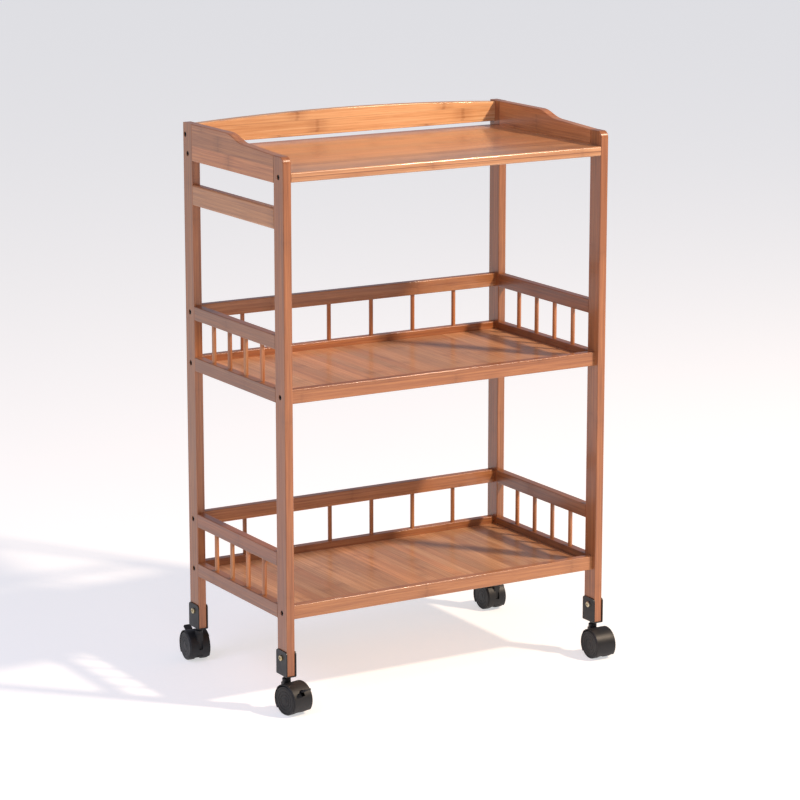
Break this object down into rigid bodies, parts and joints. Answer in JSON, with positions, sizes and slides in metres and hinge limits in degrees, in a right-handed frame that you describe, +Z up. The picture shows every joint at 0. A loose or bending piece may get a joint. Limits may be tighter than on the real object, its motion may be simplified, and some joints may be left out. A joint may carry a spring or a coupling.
{
  "type": "rolling utility cart",
  "caption": "Bamboo rolling cart with a walled top shelf, two railed tiers with spindles, a side handle rail and swivel casters.",
  "frame": {"origin": "on the floor under the middle of the cart's overall box", "axes": "+X along the cart to its right side, +Y towards the back panel, +Z up"},
  "size_m": [0.5186, 0.3445, 0.758],
  "materials": {
    "bamboo": "caramel stained bamboo under satin lacquer",
    "bamboo_panel": "caramel stained bamboo strip board under glossy lacquer",
    "raw_bamboo": "plain turned bamboo dowel",
    "black_steel": "black powder coat",
    "zinc_steel": "yellow zinc plated",
    "stem_steel": "black oxide",
    "black_nylon": "moulded black nylon, fine texture",
    "wheel_nylon": "moulded black nylon wheel"
  },
  "bodies": {
    "cart_frame": {"back_panel": "bamboo", "barrel_nuts": "zinc_steel", "bottom_lower_rail_back": "bamboo", "bottom_lower_rail_front": "bamboo", "bottom_lower_rail_left": "bamboo", "bottom_lower_rail_right": "bamboo", "bottom_shelf": "bamboo_panel", "bottom_spindles_back": "bamboo", "bottom_spindles_left": "bamboo", "bottom_spindles_right": "bamboo", "bottom_upper_rail_back": "bamboo", "bottom_upper_rail_left": "bamboo", "bottom_upper_rail_right": "bamboo", "bracket_cap_nuts": "zinc_steel", "bracket_front_left": "black_steel", "bracket_front_right": "black_steel", "bracket_rear_left": "black_steel", "bracket_rear_right": "black_steel", "bracket_screws": "zinc_steel", "caster_stems": "stem_steel", "dowels": "raw_bamboo", "frame_bolts": "black_steel", "handle_rail": "bamboo", "middle_lower_rail_back": "bamboo", "middle_lower_rail_front": "bamboo", "middle_lower_rail_left": "bamboo", "middle_lower_rail_right": "bamboo", "middle_shelf": "bamboo_panel", "middle_spindles_back": "bamboo", "middle_spindles_left": "bamboo", "middle_spindles_right": "bamboo", "middle_upper_rail_back": "bamboo", "middle_upper_rail_left": "bamboo", "middle_upper_rail_right": "bamboo", "post_front_left": "bamboo", "post_front_right": "bamboo", "post_rear_left": "bamboo", "post_rear_right": "bamboo", "side_panel_left": "bamboo", "side_panel_right": "bamboo", "top_shelf": "bamboo_panel"},
    "caster_front_left": {"caster_housing_front_left": "black_nylon", "caster_axle_front_left": "stem_steel"},
    "wheel_a_front_left": {"caster_wheel_a_front_left": "wheel_nylon"},
    "wheel_b_front_left": {"caster_wheel_b_front_left": "wheel_nylon"},
    "lever_front_left": {"brake_lever_front_left": "black_nylon"},
    "caster_front_right": {"caster_housing_front_right": "black_nylon", "caster_axle_front_right": "stem_steel"},
    "wheel_a_front_right": {"caster_wheel_a_front_right": "wheel_nylon"},
    "wheel_b_front_right": {"caster_wheel_b_front_right": "wheel_nylon"},
    "caster_rear_left": {"caster_housing_rear_left": "black_nylon", "caster_axle_rear_left": "stem_steel"},
    "wheel_a_rear_left": {"caster_wheel_a_rear_left": "wheel_nylon"},
    "wheel_b_rear_left": {"caster_wheel_b_rear_left": "wheel_nylon"},
    "lever_rear_left": {"brake_lever_rear_left": "black_nylon"},
    "caster_rear_right": {"caster_housing_rear_right": "black_nylon", "caster_axle_rear_right": "stem_steel"},
    "wheel_a_rear_right": {"caster_wheel_a_rear_right": "wheel_nylon"},
    "wheel_b_rear_right": {"caster_wheel_b_rear_right": "wheel_nylon"}
  },
  "joints": [
    {"name": "swivel_front_left", "type": "hinge", "parent": "cart_frame", "child": "caster_front_left", "pos_m": [-0.244, -0.127, 0.045], "axis": [0, 0, 1], "continuous": true},
    {"name": "spin_a_front_left", "type": "hinge", "parent": "caster_front_left", "child": "wheel_a_front_left", "pos_m": [-0.24133, -0.14074, 0.02], "axis": [0.9816, 0.1908, 0], "continuous": true},
    {"name": "spin_b_front_left", "type": "hinge", "parent": "caster_front_left", "child": "wheel_b_front_left", "pos_m": [-0.24133, -0.14074, 0.02], "axis": [0.9816, 0.1908, 0], "continuous": true},
    {"name": "brake_front_left", "type": "hinge", "parent": "caster_front_left", "child": "lever_front_left", "pos_m": [-0.23942, -0.15056, 0.03], "axis": [0.9816, 0.1908, 0], "range_deg": [0, 20]},
    {"name": "swivel_front_right", "type": "hinge", "parent": "cart_frame", "child": "caster_front_right", "pos_m": [0.244, -0.127, 0.045], "axis": [0, 0, 1], "continuous": true},
    {"name": "spin_a_front_right", "type": "hinge", "parent": "caster_front_right", "child": "wheel_a_front_right", "pos_m": [0.244, -0.141, 0.02], "axis": [1, 0, 0], "continuous": true},
    {"name": "spin_b_front_right", "type": "hinge", "parent": "caster_front_right", "child": "wheel_b_front_right", "pos_m": [0.244, -0.141, 0.02], "axis": [1, 0, 0], "continuous": true},
    {"name": "swivel_rear_left", "type": "hinge", "parent": "cart_frame", "child": "caster_rear_left", "pos_m": [-0.244, 0.127, 0.045], "axis": [0, 0, 1], "continuous": true},
    {"name": "spin_a_rear_left", "type": "hinge", "parent": "caster_rear_left", "child": "wheel_a_rear_left", "pos_m": [-0.24278, 0.14095, 0.02], "axis": [-0.9962, 0.0872, 0], "continuous": true},
    {"name": "spin_b_rear_left", "type": "hinge", "parent": "caster_rear_left", "child": "wheel_b_rear_left", "pos_m": [-0.24278, 0.14095, 0.02], "axis": [-0.9962, 0.0872, 0], "continuous": true},
    {"name": "brake_rear_left", "type": "hinge", "parent": "caster_rear_left", "child": "lever_rear_left", "pos_m": [-0.24191, 0.15091, 0.03], "axis": [-0.9962, 0.0872, 0], "range_deg": [0, 20]},
    {"name": "swivel_rear_right", "type": "hinge", "parent": "cart_frame", "child": "caster_rear_right", "pos_m": [0.244, 0.127, 0.045], "axis": [0, 0, 1], "continuous": true},
    {"name": "spin_a_rear_right", "type": "hinge", "parent": "caster_rear_right", "child": "wheel_a_rear_right", "pos_m": [0.244, 0.141, 0.02], "axis": [-1, 0, 0], "continuous": true},
    {"name": "spin_b_rear_right", "type": "hinge", "parent": "caster_rear_right", "child": "wheel_b_rear_right", "pos_m": [0.244, 0.141, 0.02], "axis": [-1, 0, 0], "continuous": true}
  ]
}
